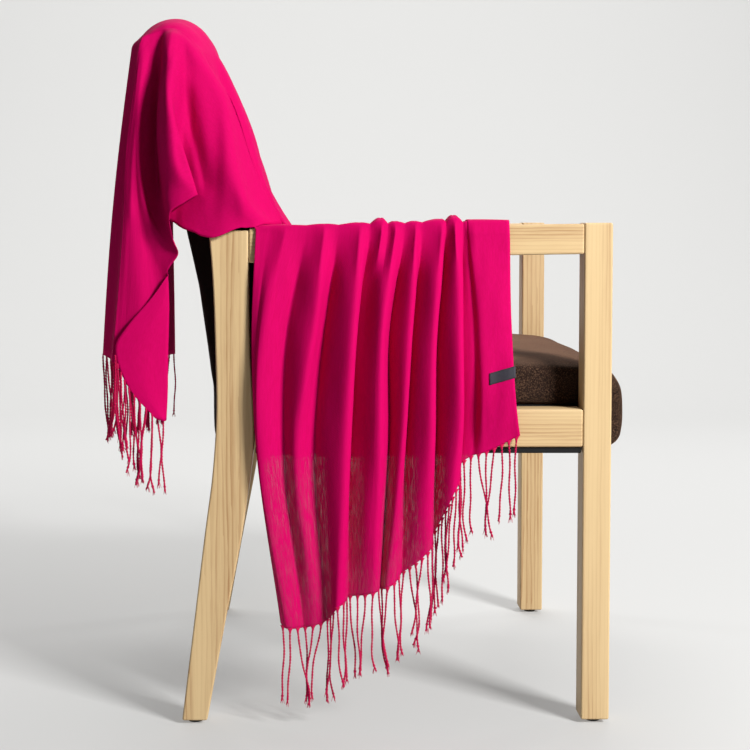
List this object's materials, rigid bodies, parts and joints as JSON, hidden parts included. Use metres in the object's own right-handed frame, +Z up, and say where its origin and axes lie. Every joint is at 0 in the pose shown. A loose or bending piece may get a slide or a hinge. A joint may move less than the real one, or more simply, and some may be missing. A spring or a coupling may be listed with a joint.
{
  "type": "fringed scarf on armchair",
  "caption": "Light fringed scarf draped in loose folds over the back and the arm of an upholstered wooden armchair, both fringed ends hanging free.",
  "frame": {"origin": "middle of the part's footprint, on the floor", "axes": "+X towards the chair's front, +Y from the draped arm towards the bare arm, +Z up"},
  "size_m": [0.7018, 0.616, 0.9542],
  "materials": {
    "pine": "oiled pine with fine straight grain",
    "seat_suede": "brushed microfibre suede",
    "back_suede": "dark brushed microfibre suede",
    "dust_cloth": "black non-woven",
    "glide_plastic": "matte",
    "scarf_twill": "fine raspberry twill with a soft nap",
    "label_tape": "charcoal woven tape"
  },
  "bodies": {
    "root": {"arm_far": "pine", "arm_near": "pine", "leg_front_far": "pine", "leg_front_near": "pine", "leg_rear_far": "pine", "leg_rear_near": "pine", "seat_rail_far": "pine", "seat_rail_near": "pine", "seat_rail_front": "pine", "seat_rail_rear": "pine", "seat_cushion": "seat_suede", "back_cushion": "back_suede", "seat_board": "dust_cloth", "dust_cover": "dust_cloth", "glide_front_far": "glide_plastic", "glide_front_near": "glide_plastic", "glide_rear_far": "glide_plastic", "glide_rear_near": "glide_plastic", "scarf_arm_fall": "scarf_twill", "scarf_over_arm": "scarf_twill", "scarf_front": "scarf_twill", "scarf_near_drape": "scarf_twill", "scarf_corner_flap": "scarf_twill", "scarf_back_top": "scarf_twill", "scarf_rear_fall": "scarf_twill", "label": "label_tape", "fringe_arm_end": "scarf_twill", "fringe_corner": "scarf_twill", "fringe_fold": "scarf_twill", "fringe_rear": "scarf_twill"}
  },
  "joints": []
}
